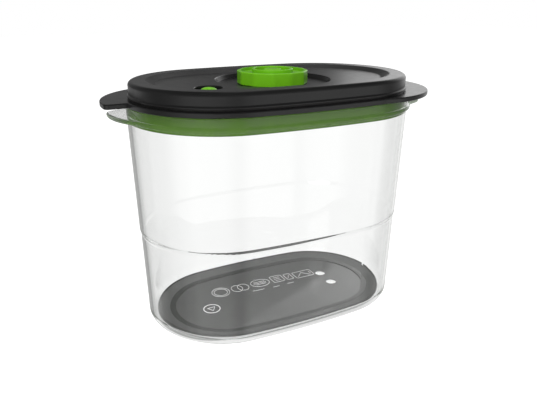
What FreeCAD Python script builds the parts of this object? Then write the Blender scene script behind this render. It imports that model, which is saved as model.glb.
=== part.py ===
"""Vacuum seal canister: a clear oval tub with a drip tray and a lid with a twist valve.

Units are millimetres. The origin is on the table under the middle of the tub,
+X runs along the long axis and +Z is up. Each piece is written to its own file.
"""
import FreeCAD
import Part
import math
import os

# Oval outline: every level is an offset of one oval with two round ends and two shallow sides
END_CENTRE = 34.2
SIDE_CENTRE = 428.0
CORE_RADIUS = 12.0

# Tub
TUB_HEIGHT = 139.2
TUB_FOOT_RADIUS = 51.1
TUB_TOP_RADIUS = 56.2
TUB_WALL = 2.2
FLOOR_THICKNESS = 1.4
FOOT_STANDOFF = 0.4
FOOT_RING_WIDTH = 3.6
FOOT_FILLET = 6.4
FLOOR_FILLET = 6.0
STACK_LEDGE = 0.6
STACK_LEDGE_HEIGHT = 60.4
STACK_LEDGE_RISE = 2.6
STACK_LEDGE_STAGGER = 0.6
STACK_LEDGE_ROUND = 4.0
LIP_ROUND = 0.7

# Rim bead and pull tabs of the tub
BEAD_DROP = 5.2
BEAD_THICKNESS = 2.7
BEAD_OVERHANG = 1.9
BEAD_ROUND = 1.25
TUB_TAB_OFFSET = 20.0
TUB_TAB_SHIFT = 13.0
TUB_TAB_RADIUS = 45.0
TUB_TAB_CUT = 55.4
TUB_TAB_TILT = 26.5
TUB_TAB_CORNER = 6.0

# Drip tray
TRAY_RIM_GAP = 3.0
TRAY_THICKNESS = 0.9
TRAY_DEPTH = 2.5
TRAY_RIM_WIDTH = 1.2
TRAY_FLAT_RADIUS = 35.0
TRAY_BEND = 9.0
TRAY_EDGE_ROUND = 0.35
DRAIN_RADIUS = 3.8
DRAIN_FROM_END = 11.1
DRAIN_SPACING = 15.0
DRAIN_SHIFT = 1.6

# Lid cover
LID_OVERHANG = 0.8
FLANGE_THICKNESS = 3.0
CROWN_INSET = 2.9
CROWN_HEIGHT = 9.9
LID_SHELL = 2.0
CROWN_ROUND = 2.4
RIM_WIDTH = 10.0
RIM_SLOPE_WIDTH = 5.6
PANEL_DEPTH = 2.3
SLOPE_ROUND = 2.5
FLANGE_ROUND = 0.6
CROWN_GROOVE_HEIGHT = 1.1
CROWN_GROOVE_DEPTH = 0.3
CROWN_LIP = 0.7
CROWN_LIP_HEIGHT = 0.8
CROWN_LIP_ROUND = 0.3
LID_TAB_OFFSET = 17.2
LID_TAB_SHIFT = 3.5
LID_TAB_RADIUS = 52.8
LID_TAB_CUT = 2.5
LID_TAB_CORNER = 3.0
LID_TAB_ROUND = 0.7

# Valve well and the bearing for the knob
WELL_RADIUS = 35.5
WELL_FLOOR_RADIUS = 34.5
WELL_DEPTH = 2.6
WELL_EDGE_ROUND = 0.8
WELL_FLOOR_ROUND = 0.5
BOSS_WALL = 2.4
BOSS_LENGTH = 5.7
VENT_RADIUS = 1.5
VENT_FROM_AXIS = 14.4
VENT_ANGLE = 200.0

# Seal carrier and gasket
CARRIER_FIT = 0.05
CARRIER_WEB = 2.2
CARRIER_LEDGE = 2.7
CARRIER_WALL = 1.6
CARRIER_LIP = 1.2
CARRIER_LIP_HEIGHT = 1.4
GASKET_GROOVE = 7.6
GASKET_FIT = 0.1
GASKET_CLEARANCE = 0.3
GASKET_RIB_COUNT = 3
GASKET_RIB_HEIGHT = 1.6
GASKET_BODY_GAP = 0.9
GASKET_SKIRT = 2.2

# Twist knob
KNOB_RADIUS = 21.85
KNOB_FACETS = 12
KNOB_FACET_TURN = 3.0
KNOB_FACET_ROUND = 6.0
KNOB_LIFT = 0.5
KNOB_HEIGHT = 7.5
KNOB_WALL = 1.8
KNOB_DECK = 1.8
KNOB_RECESS = 1.6
KNOB_TOP_ROUND = 0.6
HUB_RADIUS = 8.5
HUB_CLEARANCE = 0.08
HUB_BORE = 5.0
HUB_TAIL = 3.0

# Vacuum port and check valve in the knob
PORT_RADIUS = 10.9
PORT_WALL = 1.6
PORT_RISE = 1.0
PORT_DEPTH = 2.6
PORT_FLOOR = 1.6
PORT_ROUND = 0.5
SEAT_RADIUS = 6.6
SEAT_DEPTH = 0.4
SEAT_WEB = 1.6
AIR_HOLE_COUNT = 6
AIR_HOLE_RADIUS = 0.8
AIR_HOLE_CIRCLE = 3.5
UMBRELLA_RADIUS = 5.7
UMBRELLA_HEIGHT = 2.8
UMBRELLA_ROUND = 1.5
UMBRELLA_HOLLOW = 0.35
STEM_RADIUS = 1.4
STEM_CLEARANCE = 0.2
VALVE_LIFT = 1.2
STOP_GAP = 0.1
BULB_RADIUS = 2.2
BULB_LENGTH = 1.6

# Seals and clip of the knob
O_RING_SECTION = 0.68
O_RING_DROP = 3.6
O_RING_GAP = 0.04
O_RING_SIDE_GAP = 0.1
CLIP_THICKNESS = 1.0
CLIP_DEPTH = 1.2
CLIP_OVERHANG = 2.4
CLIP_FIT = 0.05
CLIP_GAP = 0.3
PAD_RADIUS = 3.2
PAD_THICKNESS = 2.4
PAD_GAP = 0.05
PAD_FIT = 0.05
PAD_SOCKET_WALL = 1.1
PAD_STAND_OUT = 1.0

# Splash guard under the valve
GUARD_RADIUS = 19.5
GUARD_WALL = 1.4
GUARD_DEPTH = 11.2
GUARD_FIT = 0.1
GUARD_COLLAR_WALL = 1.5
GUARD_COLLAR_HEIGHT = 3.0
GUARD_SLOT_COUNT = 8
GUARD_SLOT_WIDTH = 4.0
GUARD_SLOT_HEIGHT = 3.0

# Vacuum indicator
INDICATOR_X = -48.8
INDICATOR_Y = -17.1
DISH_RADIUS = 8.0
DISH_DEPTH = 2.6
DISH_ROUND = 0.6
DISH_FLOOR = 1.0
BUTTON_RADIUS = 4.9
BUTTON_CLEARANCE = 0.6
BUTTON_SUNK = 0.1
BUTTON_DOME = 2.0
BUTTON_SKIRT = 0.8
POST_RADIUS = 2.3
POST_HEAD_RADIUS = 3.4
POST_HEAD_HEIGHT = 1.0
TUBE_RADIUS = 9.0
TUBE_WALL = 1.6
DIAPHRAGM_FIT = 0.1
DIAPHRAGM_RISE = 3.3
DIAPHRAGM_RIM = 0.6
DIAPHRAGM_WEB = 0.5
DIAPHRAGM_CROWN = 4.0
DIAPHRAGM_FOOT = 7.4
KEEPER_HEIGHT = 2.0
KEEPER_WIDTH = 1.8

UP = FreeCAD.Vector(0, 0, 1)
ORIGIN = FreeCAD.Vector(0, 0, 0)
SEAM_REACH = math.hypot(END_CENTRE, SIDE_CENTRE)
SEAM_ANGLE = math.degrees(math.atan2(SIDE_CENTRE, END_CENTRE))

# Levels and radii that several pieces share
FLOOR_TOP = FOOT_STANDOFF + FLOOR_THICKNESS
FLANGE_TOP = TUB_HEIGHT + FLANGE_THICKNESS
CROWN_TOP = FLANGE_TOP + CROWN_HEIGHT
PANEL_TOP = CROWN_TOP - PANEL_DEPTH
PANEL_UNDER = PANEL_TOP - LID_SHELL
WELL_TOP = PANEL_TOP - WELL_DEPTH
WELL_UNDER = WELL_TOP - LID_SHELL
FLANGE_RADIUS = TUB_TOP_RADIUS + LID_OVERHANG
CROWN_RADIUS = FLANGE_RADIUS - CROWN_INSET
CROWN_INNER = CROWN_RADIUS - LID_SHELL
RIM_INNER = CROWN_RADIUS - RIM_WIDTH
PANEL_RADIUS = RIM_INNER - RIM_SLOPE_WIDTH
BOSS_BORE = HUB_RADIUS + HUB_CLEARANCE
BOSS_END = WELL_UNDER - BOSS_LENGTH
CARRIER_OUTER = CROWN_INNER - CARRIER_FIT
GROOVE_RADIUS = CARRIER_OUTER - CARRIER_LEDGE + CARRIER_WALL
LIP_TOP = TUB_HEIGHT - GASKET_GROOVE
KNOB_BOTTOM = WELL_TOP + KNOB_LIFT
KNOB_TOP = KNOB_BOTTOM + KNOB_HEIGHT
DECK_TOP = KNOB_TOP - KNOB_RECESS
DECK_UNDER = DECK_TOP - KNOB_DECK
PORT_TOP = KNOB_TOP + PORT_RISE
PORT_OUTER = PORT_RADIUS + PORT_WALL
PORT_BOTTOM = PORT_TOP - PORT_DEPTH
SEAT_TOP = PORT_BOTTOM - SEAT_DEPTH
SEAT_UNDER = SEAT_TOP - SEAT_WEB
CLIP_TOP = BOSS_END - CLIP_GAP
CLIP_UNDER = CLIP_TOP - CLIP_THICKNESS
CLIP_GROOVE_RADIUS = HUB_RADIUS - CLIP_DEPTH
HUB_END = CLIP_UNDER - HUB_TAIL / 2
PAD_BOTTOM = WELL_TOP + PAD_GAP
INDICATOR_AT = FreeCAD.Vector(INDICATOR_X, INDICATOR_Y, 0)
DISH_TOP = PANEL_TOP - DISH_DEPTH
DISH_UNDER = DISH_TOP - DISH_FLOOR
BUTTON_HOLE = BUTTON_RADIUS + BUTTON_CLEARANCE
BUTTON_TOP = PANEL_TOP - BUTTON_SUNK
BUTTON_UNDER = BUTTON_TOP - BUTTON_DOME - BUTTON_SKIRT
DIAPHRAGM_OUTER = TUBE_RADIUS - DIAPHRAGM_FIT
DIAPHRAGM_BASE = BUTTON_UNDER - DIAPHRAGM_RISE
DIAPHRAGM_RIM_TOP = DIAPHRAGM_BASE + DIAPHRAGM_RIM
TUBE_END = DIAPHRAGM_BASE - KEEPER_HEIGHT


def vector(x, y, z):
    return FreeCAD.Vector(x, y, z)


def tub_outer(height):
    """End radius of the tub's outer wall at a height, above the stacking ledge."""
    return TUB_FOOT_RADIUS + STACK_LEDGE + wall_slope() * height


def wall_slope():
    return (TUB_TOP_RADIUS - TUB_FOOT_RADIUS - STACK_LEDGE) / TUB_HEIGHT


def tub_inner(height):
    """End radius of the tub's inner wall above the stacking ledge."""
    return tub_outer(height) - TUB_WALL


def section(corners):
    """Face in the XZ plane from (radius, height, rounding) corners, rounded with tangent arcs."""
    count = len(corners)
    starts = []
    ends = []
    middles = []
    for index in range(count):
        point = vector(corners[index][0], 0, corners[index][1])
        before = vector(corners[index - 1][0], 0, corners[index - 1][1])
        after = vector(corners[(index + 1) % count][0], 0, corners[(index + 1) % count][1])
        rounding = corners[index][2]
        into = (before - point).normalize()
        out = (after - point).normalize()
        half = into.getAngle(out) / 2
        reach = rounding / math.tan(half)
        starts.append(point + into * reach)
        ends.append(point + out * reach)
        bisector = (into + out).normalize() if rounding > 0 else vector(0, 0, 0)
        middles.append(point + bisector * (rounding / math.sin(half) - rounding))
    edges = []
    for index in range(count):
        if corners[index][2] > 0:
            edges.append(Part.Arc(starts[index], middles[index], ends[index]).toShape())
        following = starts[(index + 1) % count]
        if ends[index].distanceToPoint(following) > 1e-6:
            edges.append(Part.LineSegment(ends[index], following).toShape())
    return Part.Face(Part.Wire(edges))


def oval_ring(corners):
    """Solid that carries one section all round the oval, as four turned stretches."""
    face = section(corners)
    stretches = []
    for turn in (0, 180):
        end = face.copy()
        end.translate(vector(END_CENTRE, 0, 0))
        end.rotate(vector(END_CENTRE, 0, 0), UP, -SEAM_ANGLE)
        end = end.revolve(vector(END_CENTRE, 0, 0), UP, 2 * SEAM_ANGLE)
        side = face.copy()
        side.translate(vector(SEAM_REACH, 0, 0))
        side.rotate(ORIGIN, UP, SEAM_ANGLE)
        side = side.revolve(ORIGIN, UP, 180 - 2 * SEAM_ANGLE)
        side.translate(vector(0, -SIDE_CENTRE, 0))
        for stretch in (end, side):
            stretch.rotate(ORIGIN, UP, turn)
            stretches.append(stretch)
    return stretches[0].fuse(stretches[1:]).removeSplitter()


def oval_prism(radius, low, high):
    """Upright prism on the oval of one end radius."""
    reach = radius + SEAM_REACH
    seam = math.radians(SEAM_ANGLE)
    corner_x = END_CENTRE + radius * math.cos(seam)
    corner_y = radius * math.sin(seam)
    tip = END_CENTRE + radius
    crest = reach - SIDE_CENTRE
    corners = [
        vector(corner_x, -corner_y, low),
        vector(corner_x, corner_y, low),
        vector(-corner_x, corner_y, low),
        vector(-corner_x, -corner_y, low),
    ]
    middles = [vector(tip, 0, low), vector(0, crest, low), vector(-tip, 0, low), vector(0, -crest, low)]
    arcs = []
    for index in range(4):
        arcs.append(Part.Arc(corners[index], middles[index], corners[(index + 1) % 4]).toShape())
    return Part.Face(Part.Wire(arcs)).extrude(vector(0, 0, high - low))


def turned(corners, at=ORIGIN):
    """Solid of revolution about an upright axis, from (radius, height, rounding) corners."""
    solid = section(corners).revolve(ORIGIN, UP, 360)
    solid.translate(at)
    return solid


def disc(radius, low, high, at=ORIGIN):
    return Part.makeCylinder(radius, high - low, at + vector(0, 0, low))


def tube(outer, inner, low, high, at=ORIGIN):
    return disc(outer, low, high, at).cut(disc(inner, low, high, at))


def ring_points(radius, count, first=0.0):
    """Evenly spaced points on a circle about the middle."""
    points = []
    for index in range(count):
        angle = math.radians(first + 360.0 * index / count)
        points.append(vector(radius * math.cos(angle), radius * math.sin(angle), 0))
    return points


def rounded_upright_edges(shape, x_limit, rounding):
    """Rounds the upright straight edges that lie further out along X than a limit."""
    edges = []
    for edge in shape.Edges:
        first = edge.Vertexes[0].Point
        last = edge.Vertexes[-1].Point
        upright = abs(first.x - last.x) + abs(first.y - last.y) < 1e-6 and abs(first.z - last.z) > 1e-6
        if upright and abs(first.x) > x_limit:
            edges.append(edge)
    return shape.makeFillet(rounding, edges)


def pull_tab(offset, shift, radius, cut, tilt, keep_above, corner, rounding, low, high):
    """Half-moon tab at the +X end: a disc cut by a line, on one side of it, with rounded edges."""
    at = vector(END_CENTRE + offset, shift, 0)
    size = 4 * radius
    edge = cut if keep_above else cut - size
    half = Part.makeBox(size, size, high - low, vector(END_CENTRE, edge, low))
    half.rotate(vector(END_CENTRE, cut, 0), UP, tilt)
    tab = disc(radius, low, high, at).common(half)
    tab = rounded_upright_edges(tab, END_CENTRE + offset, corner)
    level_edges = [edge for edge in tab.Edges if edge.BoundBox.ZLength < 1e-6]
    return tab.makeFillet(rounding, level_edges)


def both_ends(shape):
    """A shape and its copy turned half round the upright axis."""
    other = shape.copy()
    other.rotate(ORIGIN, UP, 180)
    return [shape, other]


def container_body():
    """Clear tapered tub with a foot ring, a stacking ledge, a rim bead and two pull tabs."""
    foot_outer = TUB_FOOT_RADIUS + wall_slope() * FOOT_FILLET - FOOT_FILLET
    foot_inner = foot_outer - FOOT_RING_WIDTH
    ledge_top = STACK_LEDGE_HEIGHT + STACK_LEDGE_RISE
    bead_top = TUB_HEIGHT - BEAD_DROP
    bead_under = bead_top - BEAD_THICKNESS
    bead_radius = tub_outer(bead_top) + BEAD_OVERHANG
    outer_ledge = STACK_LEDGE_HEIGHT - STACK_LEDGE_STAGGER
    outer_ledge_top = ledge_top - STACK_LEDGE_STAGGER
    shell = oval_ring([
        (CORE_RADIUS, FOOT_STANDOFF, 0),
        (foot_inner, FOOT_STANDOFF, 0),
        (foot_inner + FOOT_STANDOFF, 0, 0),
        (TUB_FOOT_RADIUS, 0, FOOT_FILLET),
        (tub_outer(outer_ledge) - STACK_LEDGE, outer_ledge, STACK_LEDGE_ROUND),
        (tub_outer(outer_ledge_top), outer_ledge_top, STACK_LEDGE_ROUND),
        (tub_outer(bead_under), bead_under, 0),
        (bead_radius, bead_under, BEAD_ROUND),
        (bead_radius, bead_top, BEAD_ROUND),
        (tub_outer(bead_top), bead_top, 0),
        (TUB_TOP_RADIUS, TUB_HEIGHT, LIP_ROUND),
        (TUB_TOP_RADIUS - TUB_WALL, TUB_HEIGHT, LIP_ROUND),
        (tub_inner(ledge_top), ledge_top, STACK_LEDGE_ROUND),
        (tub_inner(STACK_LEDGE_HEIGHT) - STACK_LEDGE, STACK_LEDGE_HEIGHT, STACK_LEDGE_ROUND),
        (tub_inner(FLOOR_TOP) - STACK_LEDGE, FLOOR_TOP, FLOOR_FILLET),
        (CORE_RADIUS, FLOOR_TOP, 0),
    ])
    core = oval_prism(CORE_RADIUS, FOOT_STANDOFF, FLOOR_TOP)
    tab = pull_tab(
        TUB_TAB_OFFSET, -TUB_TAB_SHIFT, TUB_TAB_RADIUS, -TUB_TAB_CUT, TUB_TAB_TILT, True,
        TUB_TAB_CORNER, BEAD_ROUND, bead_under, bead_top)
    hollow = oval_prism(tub_outer(bead_under) - TUB_WALL / 2, bead_under, bead_top)
    tabs = [piece.cut(hollow) for piece in both_ends(tab)]
    return shell.fuse([core] + tabs).removeSplitter()


def drip_tray():
    """Shallow lift-out dish on the tub's floor, with two drain holes near one end."""
    under = FLOOR_TOP
    flat_top = under + TRAY_THICKNESS
    rim_top = flat_top + TRAY_DEPTH
    rim_radius = tub_inner(rim_top) - STACK_LEDGE - TRAY_RIM_GAP
    ring = oval_ring([
        (CORE_RADIUS, under, 0),
        (TRAY_FLAT_RADIUS, under, TRAY_BEND + TRAY_THICKNESS),
        (rim_radius, rim_top - TRAY_THICKNESS, TRAY_EDGE_ROUND),
        (rim_radius, rim_top, TRAY_EDGE_ROUND),
        (rim_radius - TRAY_RIM_WIDTH, rim_top, TRAY_EDGE_ROUND),
        (TRAY_FLAT_RADIUS, flat_top, TRAY_BEND),
        (CORE_RADIUS, flat_top, 0),
    ])
    tray = ring.fuse(oval_prism(CORE_RADIUS, under, flat_top))
    for side in (-1, 1):
        at = vector(END_CENTRE + DRAIN_FROM_END, DRAIN_SHIFT + side * DRAIN_SPACING / 2, 0)
        tray = tray.cut(disc(DRAIN_RADIUS, under, rim_top, at))
    return tray.removeSplitter()


def lid_cover():
    """Black outer lid: flange with pull tabs, hollow crown, dished panel, valve well and bosses."""
    slope_drop = LID_SHELL * 0.5
    lip_under = FLANGE_TOP + CROWN_GROOVE_HEIGHT
    lip_top = lip_under + CROWN_LIP_HEIGHT
    lip_radius = CROWN_RADIUS + CROWN_LIP
    groove_radius = CROWN_RADIUS - CROWN_GROOVE_DEPTH
    shell = oval_ring([
        (CORE_RADIUS, PANEL_TOP, 0),
        (PANEL_RADIUS, PANEL_TOP, SLOPE_ROUND),
        (RIM_INNER, CROWN_TOP, SLOPE_ROUND),
        (CROWN_RADIUS, CROWN_TOP, CROWN_ROUND),
        (CROWN_RADIUS, lip_top + CROWN_LIP, CROWN_LIP),
        (lip_radius, lip_top, CROWN_LIP_ROUND),
        (lip_radius, lip_under, CROWN_LIP_ROUND),
        (groove_radius, lip_under, 0),
        (groove_radius, FLANGE_TOP, 0),
        (FLANGE_RADIUS, FLANGE_TOP, FLANGE_ROUND),
        (FLANGE_RADIUS, TUB_HEIGHT, FLANGE_ROUND),
        (CROWN_INNER, TUB_HEIGHT, 0),
        (CROWN_INNER, CROWN_TOP - LID_SHELL, CROWN_ROUND * 0.5),
        (RIM_INNER + slope_drop, CROWN_TOP - LID_SHELL, SLOPE_ROUND),
        (PANEL_RADIUS + slope_drop, PANEL_UNDER, SLOPE_ROUND),
        (CORE_RADIUS, PANEL_UNDER, 0),
    ])
    core = oval_prism(CORE_RADIUS, PANEL_UNDER, PANEL_TOP)
    tab = pull_tab(
        LID_TAB_OFFSET, -LID_TAB_SHIFT, LID_TAB_RADIUS, LID_TAB_CUT, 0, False,
        LID_TAB_CORNER, LID_TAB_ROUND, TUB_HEIGHT, FLANGE_TOP)
    hollow = oval_prism(CROWN_RADIUS - LID_SHELL / 2, TUB_HEIGHT, FLANGE_TOP)
    tabs = [piece.cut(hollow) for piece in both_ends(tab)]
    well_cup = turned([
        (0, WELL_UNDER, 0),
        (WELL_FLOOR_RADIUS + LID_SHELL, WELL_UNDER, 0),
        (WELL_RADIUS + LID_SHELL, PANEL_TOP - LID_SHELL, 0),
        (0, PANEL_TOP - LID_SHELL, 0),
    ])
    collar_outer = GUARD_RADIUS + GUARD_FIT + GUARD_COLLAR_WALL
    collar = tube(collar_outer, GUARD_RADIUS + GUARD_FIT, WELL_UNDER - GUARD_COLLAR_HEIGHT, WELL_UNDER)
    boss = disc(BOSS_BORE + BOSS_WALL, BOSS_END, WELL_UNDER)
    indicator_tube = disc(TUBE_RADIUS + TUBE_WALL, TUBE_END, PANEL_UNDER, INDICATOR_AT)
    lid = shell.fuse([core, well_cup, collar, boss, indicator_tube] + tabs).removeSplitter()
    well = turned([
        (0, WELL_TOP, 0),
        (WELL_FLOOR_RADIUS, WELL_TOP, WELL_FLOOR_ROUND),
        (WELL_RADIUS, PANEL_TOP, WELL_EDGE_ROUND),
        (WELL_RADIUS + 2 * WELL_EDGE_ROUND, PANEL_TOP, 0),
        (WELL_RADIUS + 2 * WELL_EDGE_ROUND, PANEL_TOP + LID_SHELL, 0),
        (0, PANEL_TOP + LID_SHELL, 0),
    ])
    button_hole = turned([
        (0, TUBE_END, 0),
        (TUBE_RADIUS, TUBE_END, 0),
        (TUBE_RADIUS, DIAPHRAGM_RIM_TOP, 0),
        (DISH_RADIUS, DIAPHRAGM_RIM_TOP, 0),
        (DISH_RADIUS, DISH_UNDER, 0),
        (BUTTON_HOLE, DISH_UNDER, 0),
        (BUTTON_HOLE, DISH_TOP, 0),
        (DISH_RADIUS, DISH_TOP, 0),
        (DISH_RADIUS, PANEL_TOP, DISH_ROUND),
        (DISH_RADIUS + 2 * DISH_ROUND, PANEL_TOP, 0),
        (DISH_RADIUS + 2 * DISH_ROUND, PANEL_TOP + LID_SHELL, 0),
        (0, PANEL_TOP + LID_SHELL, 0),
    ], INDICATOR_AT)
    vent_at = ring_points(VENT_FROM_AXIS, 1, VENT_ANGLE)[0]
    vent = disc(VENT_RADIUS, WELL_UNDER, WELL_TOP, vent_at)
    bearing = disc(BOSS_BORE, BOSS_END, WELL_TOP)
    return lid.cut([well, button_hole, vent, bearing]).removeSplitter()


def seal_carrier():
    """Ring welded into the crown: its wall and lip hold the gasket against the tub's mouth."""
    top = CROWN_TOP - LID_SHELL
    inner = CARRIER_OUTER - CARRIER_LEDGE
    lip_under = LIP_TOP - CARRIER_LIP_HEIGHT
    return oval_ring([
        (inner - CARRIER_WALL, top, 0),
        (inner, top, 0),
        (inner, TUB_HEIGHT + CARRIER_WEB, 0),
        (CARRIER_OUTER, TUB_HEIGHT + CARRIER_WEB, 0),
        (CARRIER_OUTER, TUB_HEIGHT, 0),
        (GROOVE_RADIUS, TUB_HEIGHT, 0),
        (GROOVE_RADIUS, LIP_TOP, 0),
        (GROOVE_RADIUS + CARRIER_LIP, LIP_TOP, 0),
        (GROOVE_RADIUS + CARRIER_LIP, lip_under, CARRIER_LIP_HEIGHT * 0.4),
        (GROOVE_RADIUS - CARRIER_WALL, lip_under, CARRIER_LIP_HEIGHT * 0.4),
        (inner - CARRIER_WALL, TUB_HEIGHT, 0),
    ])


def lid_gasket():
    """Silicone ring in the carrier's groove, with sealing ribs and a skirt below the carrier's lip."""
    inner = GROOVE_RADIUS + GASKET_FIT
    top = TUB_HEIGHT
    bottom = LIP_TOP
    skirt_end = bottom - GASKET_SKIRT
    reach = tub_inner(skirt_end) - GASKET_CLEARANCE
    body = reach - GASKET_BODY_GAP
    pitch = (top - bottom) / GASKET_RIB_COUNT
    corners = [(inner, top, 0), (body, top, 0)]
    for index in range(GASKET_RIB_COUNT):
        middle = top - pitch * (index + 0.5)
        corners.append((body, middle + GASKET_RIB_HEIGHT / 2, 0))
        corners.append((reach, middle, GASKET_RIB_HEIGHT * 0.15))
        if index < GASKET_RIB_COUNT - 1:
            corners.append((body, middle - GASKET_RIB_HEIGHT / 2, 0))
    lip_outer = GROOVE_RADIUS + CARRIER_LIP + GASKET_FIT
    corners.append((reach - GASKET_FIT, skirt_end, 0))
    corners.append((lip_outer, skirt_end, 0))
    corners.append((lip_outer, bottom, 0))
    corners.append((inner, bottom, 0))
    return oval_ring(corners)


def valve_guard():
    """Slotted cup under the valve that keeps liquid out of it, held in the lid's collar."""
    under = WELL_UNDER - GUARD_DEPTH
    cup = disc(GUARD_RADIUS, under, WELL_UNDER)
    cup = cup.cut(disc(GUARD_RADIUS - GUARD_WALL, under + GUARD_WALL, WELL_UNDER))
    slot = Part.makeBox(
        GUARD_RADIUS, GUARD_SLOT_WIDTH, GUARD_SLOT_HEIGHT,
        vector(BOSS_BORE + BOSS_WALL, -GUARD_SLOT_WIDTH / 2, under + GUARD_WALL))
    for index in range(GUARD_SLOT_COUNT):
        opening = slot.copy()
        opening.rotate(ORIGIN, UP, 360.0 * (index + 0.5) / GUARD_SLOT_COUNT)
        cup = cup.cut(opening)
    return cup


def knob_outline(low, high):
    """Upright prism with flat facets whose corners are rounded."""
    points = ring_points(KNOB_RADIUS, KNOB_FACETS, KNOB_FACET_TURN)
    prism = Part.Face(Part.makePolygon(points + points[:1])).extrude(vector(0, 0, high - low))
    prism.translate(vector(0, 0, low))
    return rounded_upright_edges(prism, 0, KNOB_FACET_ROUND)


def valve_knob():
    """Twist knob: faceted cup with a vacuum port on top and a hollow hub that turns in the lid."""
    knob = knob_outline(KNOB_BOTTOM, KNOB_TOP)
    top_edges = [edge for edge in knob.Edges if edge.BoundBox.ZMin > KNOB_TOP - 1e-6]
    knob = knob.makeFillet(KNOB_TOP_ROUND, top_edges)
    flat_reach = KNOB_RADIUS * math.cos(math.pi / KNOB_FACETS)
    cavity_radius = flat_reach - KNOB_WALL * 0.7
    knob = knob.cut(disc(cavity_radius, KNOB_BOTTOM, DECK_UNDER))
    knob = knob.cut(disc(flat_reach - KNOB_WALL, DECK_TOP, KNOB_TOP))
    cup = turned([
        (0, PORT_BOTTOM - PORT_FLOOR, 0),
        (PORT_OUTER, PORT_BOTTOM - PORT_FLOOR, 0),
        (PORT_OUTER, PORT_TOP, PORT_ROUND),
        (PORT_RADIUS, PORT_TOP, PORT_ROUND),
        (PORT_RADIUS, PORT_BOTTOM, 0),
        (0, PORT_BOTTOM, 0),
    ])
    hub = disc(HUB_RADIUS, HUB_END, PORT_BOTTOM)
    vent_at = ring_points(VENT_FROM_AXIS, 1, VENT_ANGLE)[0]
    socket_under = PAD_BOTTOM + PAD_STAND_OUT
    socket = disc(PAD_RADIUS + PAD_FIT + PAD_SOCKET_WALL, socket_under, DECK_UNDER, vent_at)
    knob = knob.fuse([cup, hub, socket]).removeSplitter()
    groove_mid = WELL_UNDER - O_RING_DROP
    groove_half = O_RING_SECTION + O_RING_SIDE_GAP
    o_ring_floor = BOSS_BORE - O_RING_GAP - 2 * O_RING_SECTION
    cuts = [
        disc(SEAT_RADIUS, SEAT_TOP, PORT_BOTTOM),
        disc(HUB_BORE, HUB_END, SEAT_UNDER),
        disc(STEM_RADIUS + STEM_CLEARANCE, SEAT_UNDER, SEAT_TOP),
        tube(HUB_RADIUS * 2, o_ring_floor, groove_mid - groove_half, groove_mid + groove_half),
        tube(HUB_RADIUS * 2, CLIP_GROOVE_RADIUS, CLIP_UNDER, CLIP_TOP),
        disc(PAD_RADIUS + PAD_FIT, socket_under, PAD_BOTTOM + PAD_THICKNESS, vent_at),
    ]
    for at in ring_points(AIR_HOLE_CIRCLE, AIR_HOLE_COUNT):
        cuts.append(disc(AIR_HOLE_RADIUS, SEAT_UNDER, SEAT_TOP, at))
    return knob.cut(cuts).removeSplitter()


def knob_o_ring():
    """O-ring that seals the turning hub in the lid's bearing."""
    middle = BOSS_BORE - O_RING_GAP - O_RING_SECTION
    return Part.makeTorus(middle, O_RING_SECTION, vector(0, 0, WELL_UNDER - O_RING_DROP))


def knob_retainer():
    """Split clip in the hub's lower groove, which keeps the knob in the lid."""
    inner = CLIP_GROOVE_RADIUS + CLIP_FIT
    outer = HUB_RADIUS + CLIP_OVERHANG
    clip = tube(outer, inner, CLIP_UNDER, CLIP_TOP)
    mouth = Part.makeBox(
        outer, CLIP_GROOVE_RADIUS, CLIP_THICKNESS,
        vector(0, -CLIP_GROOVE_RADIUS / 2, CLIP_UNDER))
    return clip.cut(mouth)


def vent_seal():
    """Silicone pad in the knob that covers the lid's vent hole until the knob is turned."""
    vent_at = ring_points(VENT_FROM_AXIS, 1, VENT_ANGLE)[0]
    return disc(PAD_RADIUS, PAD_BOTTOM, PAD_BOTTOM + PAD_THICKNESS, vent_at)


def check_valve():
    """Umbrella valve over the knob's air holes: it lifts for the pump and closes by itself."""
    bulb_top = SEAT_UNDER - VALVE_LIFT - STOP_GAP
    cap = turned([
        (0, SEAT_TOP, 0),
        (UMBRELLA_RADIUS, SEAT_TOP, 0),
        (UMBRELLA_RADIUS, SEAT_TOP + UMBRELLA_HEIGHT, UMBRELLA_ROUND),
        (0, SEAT_TOP + UMBRELLA_HEIGHT, 0),
    ])
    hollow_radius = AIR_HOLE_CIRCLE + AIR_HOLE_RADIUS + UMBRELLA_HOLLOW
    cap = cap.cut(tube(hollow_radius, STEM_RADIUS, SEAT_TOP, SEAT_TOP + UMBRELLA_HOLLOW))
    stem = disc(STEM_RADIUS, bulb_top, SEAT_TOP + UMBRELLA_HOLLOW)
    bulb = turned([
        (0, bulb_top, 0),
        (BULB_RADIUS, bulb_top, BULB_RADIUS * 0.15),
        (STEM_RADIUS * 0.7, bulb_top - BULB_LENGTH, 0),
        (0, bulb_top - BULB_LENGTH, 0),
    ])
    return cap.fuse([stem, bulb]).removeSplitter()


def indicator_button():
    """Green dome that stands up in the lid and is drawn down when the tub holds a vacuum."""
    skirt_top = BUTTON_UNDER + BUTTON_SKIRT
    curve = (BUTTON_RADIUS ** 2 + BUTTON_DOME ** 2) / (2 * BUTTON_DOME)
    ball = Part.makeSphere(curve, vector(0, 0, BUTTON_TOP - curve))
    dome = ball.common(disc(BUTTON_RADIUS, skirt_top, BUTTON_TOP))
    skirt = disc(BUTTON_RADIUS, BUTTON_UNDER, skirt_top)
    web_under = BUTTON_UNDER - DIAPHRAGM_WEB
    post = disc(POST_RADIUS, web_under, BUTTON_UNDER)
    head = disc(POST_HEAD_RADIUS, web_under - POST_HEAD_HEIGHT, web_under)
    button = dome.fuse([skirt, post, head]).removeSplitter()
    button.translate(INDICATOR_AT)
    return button


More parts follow.
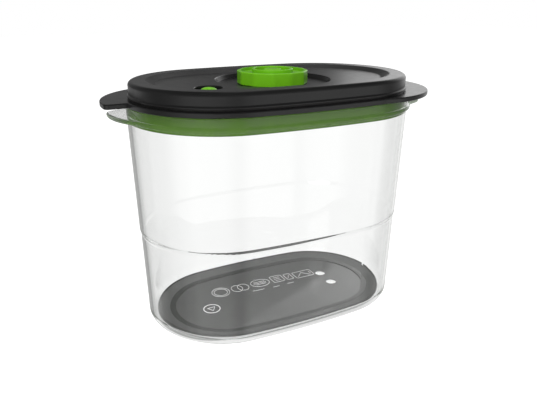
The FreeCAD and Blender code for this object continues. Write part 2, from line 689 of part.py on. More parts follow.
def indicator_diaphragm():
    """Soft cone between the button's post and a rim that is clamped in the lid's tube."""
    web_under = BUTTON_UNDER - DIAPHRAGM_WEB
    return turned([
        (POST_RADIUS + DIAPHRAGM_FIT, web_under, 0),
        (DIAPHRAGM_CROWN - DIAPHRAGM_WEB * 0.6, web_under, DIAPHRAGM_WEB),
        (DIAPHRAGM_FOOT - DIAPHRAGM_WEB * 0.4, DIAPHRAGM_BASE, 0),
        (DIAPHRAGM_OUTER, DIAPHRAGM_BASE, 0),
        (DIAPHRAGM_OUTER, DIAPHRAGM_RIM_TOP, 0),
        (DIAPHRAGM_FOOT, DIAPHRAGM_RIM_TOP, DIAPHRAGM_WEB),
        (DIAPHRAGM_CROWN, BUTTON_UNDER, DIAPHRAGM_WEB),
        (POST_RADIUS + DIAPHRAGM_FIT, BUTTON_UNDER, 0),
    ], INDICATOR_AT)


def indicator_retainer():
    """Ring pressed into the lid's tube that clamps the diaphragm's rim."""
    inner = DIAPHRAGM_OUTER - KEEPER_WIDTH
    return tube(DIAPHRAGM_OUTER, inner, TUBE_END, DIAPHRAGM_BASE, INDICATOR_AT)


PIECES = [
    container_body,
    drip_tray,
    lid_cover,
    seal_carrier,
    lid_gasket,
    valve_guard,
    valve_knob,
    knob_o_ring,
    knob_retainer,
    vent_seal,
    check_valve,
    indicator_button,
    indicator_diaphragm,
    indicator_retainer,
]

os.makedirs("parts", exist_ok=True)
for piece in PIECES:
    shape = piece()
    shape.exportStep("parts/" + piece.__name__ + ".step")
    print(piece.__name__, "solids", len(shape.Solids), "valid", shape.isValid(), "volume", round(shape.Volume, 1))
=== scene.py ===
"""Looks of the vacuum seal canister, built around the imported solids. Units are metres."""
import math
import bmesh
import bpy
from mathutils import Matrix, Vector


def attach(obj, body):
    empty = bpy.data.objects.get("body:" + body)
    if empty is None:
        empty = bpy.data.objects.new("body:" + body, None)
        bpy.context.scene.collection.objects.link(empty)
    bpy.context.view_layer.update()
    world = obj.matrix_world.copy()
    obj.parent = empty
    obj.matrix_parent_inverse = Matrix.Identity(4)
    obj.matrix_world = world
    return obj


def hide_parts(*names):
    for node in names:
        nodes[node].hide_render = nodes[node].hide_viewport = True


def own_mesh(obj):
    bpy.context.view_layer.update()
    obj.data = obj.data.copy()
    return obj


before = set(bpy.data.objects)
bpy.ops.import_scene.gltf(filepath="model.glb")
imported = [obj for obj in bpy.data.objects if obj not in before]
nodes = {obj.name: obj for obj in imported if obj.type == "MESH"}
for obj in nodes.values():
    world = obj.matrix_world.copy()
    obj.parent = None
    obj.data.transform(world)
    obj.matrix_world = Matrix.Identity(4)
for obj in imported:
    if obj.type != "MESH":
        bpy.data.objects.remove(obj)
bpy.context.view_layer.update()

# Camera, as fitted to the edges of the photographed object
PHOTO_WIDTH = 537.0
PHOTO_HEIGHT = 410.0
FOCAL_PIXELS = 572.65
PRINCIPAL_X = 265.46
PRINCIPAL_Y = 205.47
SENSOR_WIDTH = 36.0
CAMERA_PLACE = Vector((-0.16616, -0.31804, 0.19735))
CAMERA_LOOK = Vector((0.42522, 0.83768, -0.34276))
CAMERA_NEAR = 0.01

# Floor, and the studio's brightness as the camera sees it and as it lights matt surfaces
FLOOR_SIZE = 6.0
FLOOR_DROP = 0.0002
FLOOR_GREY = 0.8
FLOOR_GLOW = 0.52
STUDIO_WHITE = 1.0
STUDIO_FILL = 0.65

# Soft lamps: name, place, point aimed at, diameter and power
LAMPS = (
    ("key", (-0.5, -0.6, 1.4), (0, 0, 0.08), 1.0, 12.0),
    ("fill", (-0.72, -1.03, 0.45), (0, 0, 0.1), 0.8, 5.0),
)

# Heights where the mirrored studio changes, from -1 straight down to 1 straight up, and by how much
HORIZON_BLUR = 0.04
STEEP_FROM = -0.4
STEEP_TO = -0.8
UNDERSIDE = 0.85
HIGH_FROM = 0.44
HIGH_TO = 0.52
OVERHEAD = 0.3

# The same for what is seen straight through the clear plastic
DEEP_FROM = -0.55
DEEP_TO = -0.75
DEEP_GREY = 0.65

# Lean of the mirrored window, in degrees of bearing between two heights
SLANT_FROM = 0.44
SLANT_TO = 0.56
SLANT = 13.0

# Mirrored brightness by bearing below the horizon: white behind the object, bright and dark cards elsewhere
SWEEP = (
    (-180, 0.2), (-165, 0.5), (-150, 0.85), (-115, 0.75), (-92, 0.3), (-76, 0.85), (-47, 0.85),
    (-20, 0.25), (5, 0.4), (22, 0.75), (27, 0.95), (30.5, 0.92), (33, 0.83), (44.5, 0.84), (47, 0.98),
    (52, 1.0), (75, 1.0), (81, 0.92), (84.5, 0.74), (87.4, 0.43), (97, 0.43), (102, 0.36), (114, 0.4),
    (124, 0.8), (146, 0.3), (158, 0.1), (180, 0.2),
)
# Mirrored brightness by bearing above the horizon: dim, with a bright window behind on the right
ROOM = (
    (-180, 0.16), (0, 0.16), (20, 1.0), (44, 1.5), (50, 1.5), (53, 1.1), (54.8, 1.1), (55.6, 0.16),
    (68, 0.16), (72, 0.25), (90, 0.25), (100, 0.16), (180, 0.16),
)
# Brightness by bearing of what is seen straight through the clear plastic: white, with one pale grey card
BACKDROP = ((-180, 1.0), (77, 1.0), (86, 0.62), (112, 0.62), (118, 1.0), (180, 1.0))

# Colours, as linear light
BLACK = (0.008, 0.008, 0.008)
GREEN = (0.135, 0.42, 0.006)
SILICONE_GREEN = (0.06, 0.154, 0.001)
# Dark grey of the tray: painted shade, standing for the shadow under the tub seen through its clear floor
TRAY_SHADE_GREY = (0.117, 0.117, 0.117)
# Darker grey of the tray's rim bead and step: painted shade
RIM_SHADE_GREY = (0.055, 0.055, 0.055)
# Pale grey of the tray's raised marks: painted highlight of their edges, not print
PALE_HIGHLIGHT_GREY = (0.85, 0.85, 0.85)
WHITE = (0.75, 0.75, 0.72)
RUBBER = (0.018, 0.018, 0.018)

# Texture that the moulded finishes share, with scales per metre
PLASTIC_BEND = 1.5
NOISE_ROUGHNESS = 0.6
MOTTLE = 0.06
MOTTLE_SCALE = 90.0
MOTTLE_DETAIL = 3.0
MOTTLE_FROM = 0.35
MOTTLE_TO = 0.65
GLOSS_SCALE = 160.0
GLOSS_DETAIL = 4.0
GLOSS_SPREAD = 0.05
GRAIN_DETAIL = 2.0
GRAIN_STRENGTH = 0.5

# Moulded finishes: colour, roughness, scale and depth of the grain, and where they differ bend and spread
MOULDED = {
    "matt_black_plastic": (BLACK, 0.3, 2500.0, 0.00002),
    # The tray's dark grey is painted shade
    "shade_grey_tray_plastic": (TRAY_SHADE_GREY, 0.02, 1800.0, 0.0000005, 1.68, 0.01),
    # Finish of the tray's rim bead and step, darker than the tray as painted shade
    "grey_rim_plastic": (RIM_SHADE_GREY, 0.1, 1800.0, 0.000001),
    "green_silicone": (SILICONE_GREEN, 0.6, 1200.0, 0.00002),
    "green_plastic": (GREEN, 0.33, 1500.0, 0.00002),
    "green_valve_silicone": (GREEN, 0.5, 1200.0, 0.00002),
    "black_rubber": (RUBBER, 0.6, 1500.0, 0.00002),
    "natural_plastic": (WHITE, 0.4, 1500.0, 0.00002),
    # The marks' pale finish is a painted highlight of the raised edges
    "pale_mark_highlight": (PALE_HIGHLIGHT_GREY, 0.5, 1500.0, 0.00001),
}

# Clear plastic
CLEAR_TINT = (0.998, 1.0, 0.999, 1.0)
CLEAR_ROUGHEST = 0.03
CLEAR_GLOSS_SCALE = 35.0
CLEAR_GLOSS_DETAIL = 3.0
RIPPLE_SCALE = 25.0
RIPPLE_DETAIL = 1.0
RIPPLE_STRENGTH = 0.1
RIPPLE_DEPTH = 0.0001
HAZE = (0.7, 0.72, 0.71, 1.0)
HAZE_DENSITY = 5.0
# Painted glow inside the clear plastic, which gives off light though it is no lamp: colour and strength
PAINTED_GLOW = (0.88, 1.0, 0.82, 1.0)
PAINTED_GLOW_STRENGTH = 6.0

# Finish of each solid that is not replaced
DRESS = {
    "container_body": "clear_plastic",
    # The tray's dark grey finish is painted shade
    "drip_tray": "shade_grey_tray_plastic",
    "lid_cover": "matt_black_plastic",
    "seal_carrier": "matt_black_plastic",
    "valve_guard": "matt_black_plastic",
    "indicator_retainer": "matt_black_plastic",
    "lid_gasket": "green_silicone",
    "valve_knob": "green_plastic",
    "indicator_button": "green_plastic",
    "check_valve": "green_valve_silicone",
    "knob_o_ring": "black_rubber",
    "vent_seal": "black_rubber",
    "knob_retainer": "natural_plastic",
}

# Angle in degrees beyond which two faces of a new piece keep a sharp edge
SHARP_ANGLE = 40

# Oval of the tub, with the number of points on an end arc and on a side arc
END_CENTRE = 0.0342
SIDE_CENTRE = 0.428
END_STEPS = 72
SIDE_STEPS = 16

# Face of the gasket where it is squeezed flat against the wall of the tub
MOUTH_HEIGHT = 0.1392
MOUTH_RADIUS = 0.054
WALL_SLOPE = 4.5 / 139.2
GASKET_RADIUS = 0.0524
LIP_BITE = 0.00012
LIP_EDGE = 0.0002
LIP_LOW = 0.12955
LIP_HIGH = 0.1389

# Skin over the crown's rounded edge: middle of the rounding, radius and angles of the outer and inner side
CROWN_EDGE = (0.0517, 0.1497)
CROWN_SKIN_OUTER = 0.00245
CROWN_OUTER_ARC = (0, 98)
CROWN_SKIN_INNER = 0.0016
CROWN_INNER_ARC = (91, -7)
CROWN_STEPS = 14

# Soft cone under the indicator button
INDICATOR_PLACE = (-0.0488, -0.0171)
INDICATOR_STEPS = 64
CONE_BASE = 0.1436
CONE_RIM = 0.0006
CONE_RISE = 0.0033
CONE_WEB = 0.0005
CONE_BORE = 0.0024
CONE_CROWN = 0.004
CONE_FOOT = 0.0074
CONE_OUTER = 0.0089
CONE_STEPS = 10

# Fuller dome on the indicator button
DOME_RADIUS = 0.00495
DOME_FOOT = 0.1472
DOME_SHOULDER = 0.1479
DOME_TOP = 0.1501
DOME_TIP = 0.00002
DOME_STEPS = 8

# Bead on the rim of the tray, and the step round its flat as radius and height; both get a darker grey as
# painted shade
RIM_RADIUS = 0.0454
RIM_HEIGHT = 0.0051
RIM_BEAD = 0.0007
RIM_STEPS = 16
TRAY_STEP = (
    (0.0342, 0.0025), (0.0342, 0.0031), (0.0344, 0.0033),
    (0.0388, 0.0035), (0.0394, 0.0034), (0.0394, 0.0025),
)

# Raised marks on the tray's flat: reach of foot and top to each side, as shares of the line's width
TRAY_TOP = 0.0027
MARK_HEIGHT = 0.00015
MARK_FOOT = 0.5
MARK_TOP = 0.35

# Plan of the marks, in millimetres
MM_PER_METRE = 1000
THIN = 0.45
BOLD = 0.8
OVAL_STEPS = 40
CORNER_RADIUS = 1.2
CORNER_STEPS = 4
# Ovals: middle, half width, half height and line
OVALS = (
    (-46.5, -3.7, 5.4, 5.4, BOLD), (-32.6, 14.3, 6.3, 6.3, THIN), (-32.6, 14.3, 4.7, 4.7, THIN),
    (-20.2, 14.2, 4.0, 4.6, THIN), (-15.4, 14.2, 4.0, 4.6, THIN), (-2.0, 14.6, 7.0, 5.2, THIN),
)
# Rounded frames: middle, width, height and line
FRAMES = ((12.0, 14.8, 9.0, 9.4, THIN), (21.0, 14.2, 5.0, 8.6, THIN), (33.0, 13.2, 14.8, 9.0, THIN))
# Thin bars: first and last point
BARS = (
    (-6.0, 12.8, 2.0, 12.8), (-6.6, 14.6, 2.6, 14.6), (-6.0, 16.4, 2.0, 16.4),
    (9.6, 12.6, 14.4, 12.6), (9.6, 14.8, 14.4, 14.8), (9.6, 17.0, 14.4, 17.0),
    (19.8, 12.2, 22.2, 16.2), (27.6, 10.4, 32.4, 15.6), (32.4, 15.6, 37.2, 10.4), (38.6, 11.4, 38.6, 15.0),
    (-12.0, 5.4, -3.4, 5.4), (3.4, 4.6, 8.6, 4.6), (15.0, 4.8, 20.4, 4.8),
    (-46.5, -6.4, -43.9, -2.2), (-43.9, -2.2, -49.1, -2.2), (-49.1, -2.2, -46.5, -6.4),
)


def node_of(tree, kind, **inputs):
    """New shader node with values set on its named sockets."""
    made = tree.nodes.new(kind)
    for name, value in inputs.items():
        made.inputs[name.replace("_", " ")].default_value = value
    return made


def empty_material(name):
    """New material without nodes."""
    material = bpy.data.materials.new(name)
    material.use_nodes = True
    material.node_tree.nodes.clear()
    return material


def combined(tree, operation, one, other):
    """Value that a Math node makes of two sockets."""
    both = tree.nodes.new("ShaderNodeMath")
    both.operation = operation
    tree.links.new(one, both.inputs[0])
    tree.links.new(other, both.inputs[1])
    return both.outputs["Value"]


def graded(tree, source, start, end, first, last):
    """Value that goes from first to last while the source goes from start to end."""
    grade = node_of(tree, "ShaderNodeMapRange", From_Min=start, From_Max=end, To_Min=first, To_Max=last)
    tree.links.new(source, grade.inputs["Value"])
    return grade.outputs["Result"]


def by_choice(tree, choice, off, on):
    """Value that is off where the choice is 0 and on where it is 1. Each is a number or a socket."""
    mix = tree.nodes.new("ShaderNodeMix")
    tree.links.new(choice, mix.inputs["Factor"])
    for socket, value in ((mix.inputs["A"], off), (mix.inputs["B"], on)):
        if isinstance(value, float):
            socket.default_value = value
        else:
            tree.links.new(value, socket)
    return mix.outputs["Result"]


def added(tree, one, other):
    """Sum of two shaders."""
    both = tree.nodes.new("ShaderNodeAddShader")
    tree.links.new(one, both.inputs[0])
    tree.links.new(other, both.inputs[1])
    return both.outputs["Shader"]


def open_where(tree, choice, shader):
    """Shader that lets rays straight through where the choice is 1."""
    gap = tree.nodes.new("ShaderNodeBsdfTransparent")
    mix = tree.nodes.new("ShaderNodeMixShader")
    tree.links.new(choice, mix.inputs["Fac"])
    tree.links.new(shader, mix.inputs[1])
    tree.links.new(gap.outputs["BSDF"], mix.inputs[2])
    return mix.outputs["Shader"]


def light_path(tree, *kinds):
    """1 on rays of any of the named kinds."""
    path = tree.nodes.new("ShaderNodeLightPath")
    found = path.outputs[kinds[0]]
    for kind in kinds[1:]:
        found = combined(tree, "MAXIMUM", found, path.outputs[kind])
    return found


def before_any(tree, depth):
    """1 on rays whose count of the named bounces is still under 1."""
    path = tree.nodes.new("ShaderNodeLightPath")
    none = tree.nodes.new("ShaderNodeMath")
    none.operation = "LESS_THAN"
    none.inputs[1].default_value = 1.0
    tree.links.new(path.outputs[depth], none.inputs[0])
    return none.outputs["Value"]


def mirrored(tree):
    """1 on rays that reach the eye by gloss and clear plastic alone, with no matt surface between."""
    polished = light_path(tree, "Is Glossy Ray", "Is Transmission Ray")
    return combined(tree, "MULTIPLY", polished, before_any(tree, "Diffuse Depth"))


def noise(tree, scale, detail):
    """Noise on object coordinates, which here are the part's own frame."""
    place = tree.nodes.new("ShaderNodeTexCoord")
    texture = node_of(tree, "ShaderNodeTexNoise", Scale=scale, Detail=detail, Roughness=NOISE_ROUGHNESS)
    tree.links.new(place.outputs["Object"], texture.inputs["Vector"])
    return texture.outputs["Fac"]


def mottled(tree, colour):
    """Colour that varies a little over the surface."""
    ramp = tree.nodes.new("ShaderNodeValToRGB")
    stops = ((MOTTLE_FROM, 1 - MOTTLE), (MOTTLE_TO, 1 + MOTTLE))
    for mark, (position, factor) in zip(ramp.color_ramp.elements, stops):
        mark.position = position
        mark.color = [channel * factor for channel in colour] + [1.0]
    tree.links.new(noise(tree, MOTTLE_SCALE, MOTTLE_DETAIL), ramp.inputs["Fac"])
    return ramp.outputs["Color"]


def roughen(tree, body, scale, detail, low, high):
    """Gives a shader a roughness that varies between two limits."""
    gloss = graded(tree, noise(tree, scale, detail), 0.0, 1.0, low, high)
    tree.links.new(gloss, body.inputs["Roughness"])


def emboss(tree, body, scale, detail, strength, depth):
    """Gives a shader a fine relief."""
    bump = node_of(tree, "ShaderNodeBump", Strength=strength, Distance=depth)
    tree.links.new(noise(tree, scale, detail), bump.inputs["Height"])
    tree.links.new(bump.outputs["Normal"], body.inputs["Normal"])


def moulded(name, colour, roughness, grain_scale, grain_depth, bend=PLASTIC_BEND, spread=GLOSS_SPREAD):
    """Moulded plastic or rubber: slight mottle, uneven gloss and fine grain. A higher bend mirrors more."""
    material = empty_material(name)
    tree = material.node_tree
    out = tree.nodes.new("ShaderNodeOutputMaterial")
    body = node_of(tree, "ShaderNodeBsdfPrincipled", IOR=bend)
    tree.links.new(mottled(tree, colour), body.inputs["Base Color"])
    roughen(tree, body, GLOSS_SCALE, GLOSS_DETAIL, roughness - spread, roughness + spread)
    emboss(tree, body, grain_scale, GRAIN_DETAIL, GRAIN_STRENGTH, grain_depth)
    tree.links.new(body.outputs["BSDF"], out.inputs["Surface"])
    return material


def clear_plastic(name):
    """Clear moulded wall, polished and faintly rippled.

    It greys where the sight line runs far through it. A faint painted glow inside it, though it is no lamp,
    stands for the light that it scatters.
    """
    material = empty_material(name)
    tree = material.node_tree
    out = tree.nodes.new("ShaderNodeOutputMaterial")
    body = node_of(tree, "ShaderNodeBsdfPrincipled", Base_Color=CLEAR_TINT, IOR=PLASTIC_BEND)
    body.inputs["Transmission Weight"].default_value = 1.0
    roughen(tree, body, CLEAR_GLOSS_SCALE, CLEAR_GLOSS_DETAIL, 0.0, CLEAR_ROUGHEST)
    emboss(tree, body, RIPPLE_SCALE, RIPPLE_DETAIL, RIPPLE_STRENGTH, RIPPLE_DEPTH)
    wall = open_where(tree, light_path(tree, "Is Shadow Ray"), body.outputs["BSDF"])
    tree.links.new(wall, out.inputs["Surface"])
    haze = node_of(tree, "ShaderNodeVolumeAbsorption", Color=HAZE, Density=HAZE_DENSITY)
    # Painted glow: the volume gives off light though it is no lamp
    glow = node_of(tree, "ShaderNodeEmission", Color=PAINTED_GLOW, Strength=PAINTED_GLOW_STRENGTH)
    inside = added(tree, haze.outputs["Volume"], glow.outputs["Emission"])
    tree.links.new(inside, out.inputs["Volume"])
    return material


def round_the_compass(tree, direction, stops):
    """Brightness by compass bearing in degrees, from +X towards +Y."""
    turn = tree.nodes.new("ShaderNodeTexGradient")
    turn.gradient_type = "RADIAL"
    tree.links.new(direction, turn.inputs["Vector"])
    ramp = tree.nodes.new("ShaderNodeValToRGB")
    ramp.color_ramp.interpolation = "EASE"
    marks = ramp.color_ramp.elements
    while len(marks) < len(stops):
        marks.new(0.5)
    for mark, (bearing, brightness) in zip(marks, stops):
        mark.position = bearing / 360 + 0.5
        mark.color = (brightness, brightness, brightness, 1.0)
    tree.links.new(turn.outputs["Fac"], ramp.inputs["Fac"])
    return ramp.outputs["Color"]


def sight_line(tree):
    """Direction a ray looks in, and its height from -1 straight down to 1 straight up."""
    place = tree.nodes.new("ShaderNodeTexCoord")
    split = tree.nodes.new("ShaderNodeSeparateXYZ")
    tree.links.new(place.outputs["Generated"], split.inputs["Vector"])
    return place.outputs["Generated"], split.outputs["Z"]


def surround(tree):
    """What gloss mirrors of the studio: white sweep below, dim room with a leaning window above."""
    direction, height = sight_line(tree)
    steep = graded(tree, height, STEEP_FROM, STEEP_TO, 1.0, UNDERSIDE)
    low = combined(tree, "MULTIPLY", round_the_compass(tree, direction, SWEEP), steep)
    turned = tree.nodes.new("ShaderNodeVectorRotate")
    turned.rotation_type = "Z_AXIS"
    tree.links.new(direction, turned.inputs["Vector"])
    slant = graded(tree, height, SLANT_FROM, SLANT_TO, 0.0, math.radians(-SLANT))
    tree.links.new(slant, turned.inputs["Angle"])
    raised = graded(tree, height, HIGH_FROM, HIGH_TO, 1.0, OVERHEAD)
    high = combined(tree, "MULTIPLY", round_the_compass(tree, turned.outputs["Vector"], ROOM), raised)
    return by_choice(tree, graded(tree, height, -HORIZON_BLUR, HORIZON_BLUR, 0.0, 1.0), low, high)


def backdrop(tree):
    """What is seen straight through clear plastic: white with a pale grey card, and grey far below."""
    direction, height = sight_line(tree)
    deep = graded(tree, height, DEEP_FROM, DEEP_TO, 1.0, DEEP_GREY)
    return combined(tree, "MULTIPLY", round_the_compass(tree, direction, BACKDROP), deep)


def studio_world():
    """Surround that is white to the camera, shaped in gloss, and even where it lights matt surfaces."""
    world = bpy.data.worlds.new("studio")
    bpy.context.scene.world = world
    world.use_nodes = True
    world.cycles.sampling_method = "NONE"
    tree = world.node_tree
    tree.nodes.clear()
    out = tree.nodes.new("ShaderNodeOutputWorld")
    air = node_of(tree, "ShaderNodeBackground", Color=(1.0, 1.0, 1.0, 1.0))
    seen = by_choice(tree, before_any(tree, "Glossy Depth"), surround(tree), backdrop(tree))
    light = by_choice(tree, mirrored(tree), STUDIO_FILL, seen)
    shown = by_choice(tree, light_path(tree, "Is Camera Ray"), light, STUDIO_WHITE)
    tree.links.new(shown, air.inputs["Strength"])
    tree.links.new(air.outputs["Background"], out.inputs["Surface"])


def floor_material():
    """Pale floor that is white to the camera, keeps the shadow and is open from below."""
    material = empty_material("pale_floor")
    tree = material.node_tree
    out = tree.nodes.new("ShaderNodeOutputMaterial")
    matt = node_of(tree, "ShaderNodeBsdfDiffuse", Color=(FLOOR_GREY, FLOOR_GREY, FLOOR_GREY, 1.0))
    glow = tree.nodes.new("ShaderNodeEmission")
    seen = light_path(tree, "Is Camera Ray", "Is Glossy Ray", "Is Transmission Ray")
    tree.links.new(by_choice(tree, seen, 0.0, FLOOR_GLOW), glow.inputs["Strength"])
    lit = added(tree, matt.outputs["BSDF"], glow.outputs["Emission"])
    side = tree.nodes.new("ShaderNodeNewGeometry")
    tree.links.new(open_where(tree, side.outputs["Backfacing"], lit), out.inputs["Surface"])
    return material


def studio_floor():
    """Floor just under the object, which gloss and clear plastic don't show: they show the world instead."""
    mesh = bpy.data.meshes.new("studio_floor")
    half = FLOOR_SIZE / 2
    corners = [(x * half, y * half, -FLOOR_DROP) for x, y in ((-1, -1), (1, -1), (1, 1), (-1, 1))]
    mesh.from_pydata(corners, [], [(0, 1, 2, 3)])
    floor = bpy.data.objects.new("studio_floor", mesh)
    bpy.context.scene.collection.objects.link(floor)
    mesh.materials.append(floor_material())
    floor.visible_transmission = False
    floor.visible_glossy = False


def lamp(name, place, aim, size, power):
    """Round soft lamp, which gloss doesn't mirror."""
    data = bpy.data.lights.new(name, "AREA")
    data.shape = "DISK"
    data.size = size
    data.energy = power
    made = bpy.data.objects.new(name, data)
    made.location = place
    made.rotation_euler = (Vector(aim) - Vector(place)).to_track_quat("-Z", "Y").to_euler()
    made.visible_glossy = False
    bpy.context.scene.collection.objects.link(made)


def photo_camera():
    """Camera with the view of the photo."""
    data = bpy.data.cameras.new("photo_camera")
    data.sensor_width = SENSOR_WIDTH
    data.lens = FOCAL_PIXELS * SENSOR_WIDTH / PHOTO_WIDTH
    data.shift_x = (PHOTO_WIDTH / 2 - PRINCIPAL_X) / PHOTO_WIDTH
    data.shift_y = (PRINCIPAL_Y - PHOTO_HEIGHT / 2) / PHOTO_WIDTH
    data.clip_start = CAMERA_NEAR
    camera = bpy.data.objects.new("photo_camera", data)
    camera.location = CAMERA_PLACE
    camera.rotation_euler = CAMERA_LOOK.to_track_quat("-Z", "Y").to_euler()
    bpy.context.scene.collection.objects.link(camera)
    bpy.context.scene.camera = camera


def dress(node, finish):
    """Gives a solid its finish."""
    nodes[node].data.materials.clear()
    nodes[node].data.materials.append(finishes[finish])


def new_piece(name, corners, faces, body, slot, finish):
    """Adds a mesh that rides a body, with smooth faces and sharp corners."""
    mesh = bpy.data.meshes.new(name)
    mesh.from_pydata(corners, [], faces)
    form = bmesh.new()
    form.from_mesh(mesh)
    bmesh.ops.recalc_face_normals(form, faces=form.faces)
    form.to_mesh(mesh)
    form.free()
    mesh.polygons.foreach_set("use_smooth", [True] * len(mesh.polygons))
    mesh.set_sharp_from_angle(angle=math.radians(SHARP_ANGLE))
    mesh.materials.append(finishes[finish])
    piece = bpy.data.objects.new(name, mesh)
    bpy.context.scene.collection.objects.link(piece)
    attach(piece, body)
    return piece


def arc(x, y, radius, start, end, count):
    """Points on an arc between two angles in degrees, without the last one."""
    angles = [math.radians(start + (end - start) * step / count) for step in range(count)]
    return [(x + radius * math.cos(angle), y + radius * math.sin(angle)) for angle in angles]


def tub_oval(radius):
    """Oval of two end arcs and two flat side arcs, all at one distance from the tub's core line."""
    seam = math.degrees(math.atan2(SIDE_CENTRE, END_CENTRE))
    side = radius + math.hypot(SIDE_CENTRE, END_CENTRE)
    points = arc(END_CENTRE, 0, radius, -seam, seam, END_STEPS)
    points += arc(0, -SIDE_CENTRE, side, seam, 180 - seam, SIDE_STEPS)
    points += arc(-END_CENTRE, 0, radius, 180 - seam, 180 + seam, END_STEPS)
    points += arc(0, SIDE_CENTRE, side, 180 + seam, 360 - seam, SIDE_STEPS)
    return points


def indicator_ring(radius):
    """Circle round the axis of the indicator."""
    return arc(*INDICATOR_PLACE, radius, 0, 360, INDICATOR_STEPS)


def swept(section, loop):
    """Corners and faces of a closed section of (radius, height) points, carried round a loop."""
    corners = [(x, y, height) for radius, height in section for x, y in loop(radius)]
    count = len(corners) // len(section)
    faces = []
    for index in range(len(section)):
        here = index * count
        there = (index + 1) % len(section) * count
        for step in range(count):
            after = (step + 1) % count
            faces.append((here + step, here + after, there + after, there + step))
    return corners, faces


def gasket_face():
    """Outer face of the gasket, squeezed flat against the wall of the tub."""
    low_reach = MOUTH_RADIUS - WALL_SLOPE * (MOUTH_HEIGHT - LIP_LOW) + LIP_BITE
    high_reach = MOUTH_RADIUS - WALL_SLOPE * (MOUTH_HEIGHT - LIP_HIGH) + LIP_BITE
    section = (
        (GASKET_RADIUS, LIP_LOW),
        (low_reach - LIP_EDGE, LIP_LOW),
        (low_reach, LIP_LOW + LIP_EDGE),
        (high_reach, LIP_HIGH - LIP_EDGE),
        (high_reach - LIP_EDGE, LIP_HIGH),
        (GASKET_RADIUS, LIP_HIGH),
    )
    new_piece("gasket_face", *swept(section, tub_oval), "lid", "green_silicone", "green_silicone")


def crown_edge():
    """Smooth skin over the rounded edge of the crown."""
    section = arc(*CROWN_EDGE, CROWN_SKIN_OUTER, *CROWN_OUTER_ARC, CROWN_STEPS)
    section += arc(*CROWN_EDGE, CROWN_SKIN_INNER, *CROWN_INNER_ARC, CROWN_STEPS)
    new_piece("crown_edge", *swept(section, tub_oval), "lid", "black_plastic", "matt_black_plastic")


def soft_cone():
    """Diaphragm under the button, built in its resting shape; the real one flattens as the button is drawn
    down, which is not made here.
    """
    crown_top = CONE_BASE + CONE_RISE
    rim_top = CONE_BASE + CONE_RIM
    steps = [index / CONE_STEPS for index in range(CONE_STEPS + 1)]
    spans = [(CONE_CROWN + (CONE_FOOT - CONE_CROWN) * t, (1 + math.cos(math.pi * t)) / 2) for t in steps]
    upper = [(radius, rim_top + (crown_top - rim_top) * share) for radius, share in spans]
    lower = [(radius - CONE_WEB / 2, CONE_BASE + (crown_top - CONE_WEB - CONE_BASE) * share)
             for radius, share in spans]
    outline = [(CONE_BORE, crown_top)] + upper + [(CONE_OUTER, rim_top), (CONE_OUTER, CONE_BASE)]
    outline += lower[::-1] + [(CONE_BORE, crown_top - CONE_WEB)]
    cone = new_piece("soft_cone", *swept(outline, indicator_ring), "lid", "black_rubber", "black_rubber")
    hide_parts("indicator_diaphragm")
    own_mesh(cone)


def button_dome():
    """Smooth dome over the top of the indicator button."""
    angles = [math.pi / 2 * step / DOME_STEPS for step in range(DOME_STEPS)]
    rise = DOME_TOP - DOME_SHOULDER
    section = [(DOME_TIP, DOME_FOOT), (DOME_RADIUS, DOME_FOOT)]
    section += [(DOME_RADIUS * math.cos(angle), DOME_SHOULDER + rise * math.sin(angle)) for angle in angles]
    section += [(DOME_TIP, DOME_TOP)]
    new_piece("button_dome", *swept(section, indicator_ring), "indicator", "green_plastic", "green_plastic")


def tray_rim():
    """Round bead along the rim of the tray."""
    bead = arc(0, 0, RIM_BEAD, 0, 360, RIM_STEPS)
    section = [(RIM_RADIUS + across, RIM_HEIGHT + up) for across, up in bead]
    # The darker finish of the bead is painted shade
    new_piece("tray_rim", *swept(section, tub_oval), "tray", "grey_plastic", "grey_rim_plastic")


def tray_step():
    """Fine step round the flat of the tray."""
    # The darker finish of the step is painted shade
    new_piece("tray_step", *swept(TRAY_STEP, tub_oval), "tray", "grey_plastic", "grey_rim_plastic")


def oval(x, y, reach_x, reach_y):
    """Points of an oval."""
    circle = arc(0, 0, 1, 0, 360, OVAL_STEPS)
    return [(x + reach_x * across, y + reach_y * along) for across, along in circle]


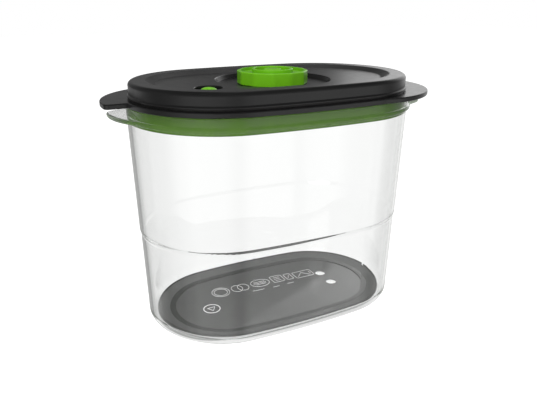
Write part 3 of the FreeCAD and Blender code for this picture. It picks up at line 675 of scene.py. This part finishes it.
def rounded_frame(x, y, width, height):
    """Points of a rectangle with rounded corners."""
    points = []
    for quarter, (side_x, side_y) in enumerate(((1, 1), (-1, 1), (-1, -1), (1, -1))):
        middle_x = x + side_x * (width / 2 - CORNER_RADIUS)
        middle_y = y + side_y * (height / 2 - CORNER_RADIUS)
        for step in range(CORNER_STEPS + 1):
            angle = math.pi / 2 * (quarter + step / CORNER_STEPS)
            across = CORNER_RADIUS * math.cos(angle)
            along = CORNER_RADIUS * math.sin(angle)
            points.append((middle_x + across, middle_y + along))
    return points


def stroke(points, closed, width):
    """Corners and faces of a raised line with sloped sides, from points in millimetres."""
    corners = []
    faces = []
    count = len(points)
    section = (
        (-MARK_FOOT, -MARK_HEIGHT),
        (-MARK_TOP, MARK_HEIGHT),
        (MARK_TOP, MARK_HEIGHT),
        (MARK_FOOT, -MARK_HEIGHT),
    )
    sides = len(section)
    for index, (x, y) in enumerate(points):
        before = points[index - 1] if closed or index else points[index]
        after = points[(index + 1) % count] if closed or index < count - 1 else points[index]
        along = Vector((after[0] - before[0], after[1] - before[1])).normalized()
        for share, height in section:
            place = (x - along.y * width * share, y + along.x * width * share)
            corners.append((place[0] / MM_PER_METRE, place[1] / MM_PER_METRE, TRAY_TOP + height))
    for index in range(count if closed else count - 1):
        here = index * sides
        there = (index + 1) % count * sides
        for side in range(sides):
            after = (side + 1) % sides
            faces.append((here + side, there + side, there + after, here + after))
    if not closed:
        faces.append(tuple(range(sides)))
        faces.append(tuple(len(corners) - 1 - side for side in range(sides)))
    return corners, faces


def tray_marks():
    """Plain raised shapes where the floor has its care signs; their pale colour is a painted highlight of
    their edges.
    """
    lines = [(oval(*shape), True, width) for *shape, width in OVALS]
    lines += [(rounded_frame(*shape), True, width) for *shape, width in FRAMES]
    lines += [([bar[:2], bar[2:]], False, THIN) for bar in BARS]
    corners = []
    faces = []
    for points, closed, width in lines:
        more, sides = stroke(points, closed, width)
        faces += [tuple(corner + len(corners) for corner in side) for side in sides]
        corners += more
    # The pale finish of the marks is a painted highlight
    new_piece("tray_marks", corners, faces, "tray", "grey_plastic", "pale_mark_highlight")


photo_camera()
studio_world()
studio_floor()
for values in LAMPS:
    lamp(*values)

finishes = {name: moulded(name, *values) for name, values in MOULDED.items()}
finishes["clear_plastic"] = clear_plastic("clear_plastic")
for node, finish in DRESS.items():
    dress(node, finish)

gasket_face()
crown_edge()
soft_cone()
button_dome()
tray_rim()
tray_step()
tray_marks()

bpy.context.scene.view_settings.view_transform = "Standard"
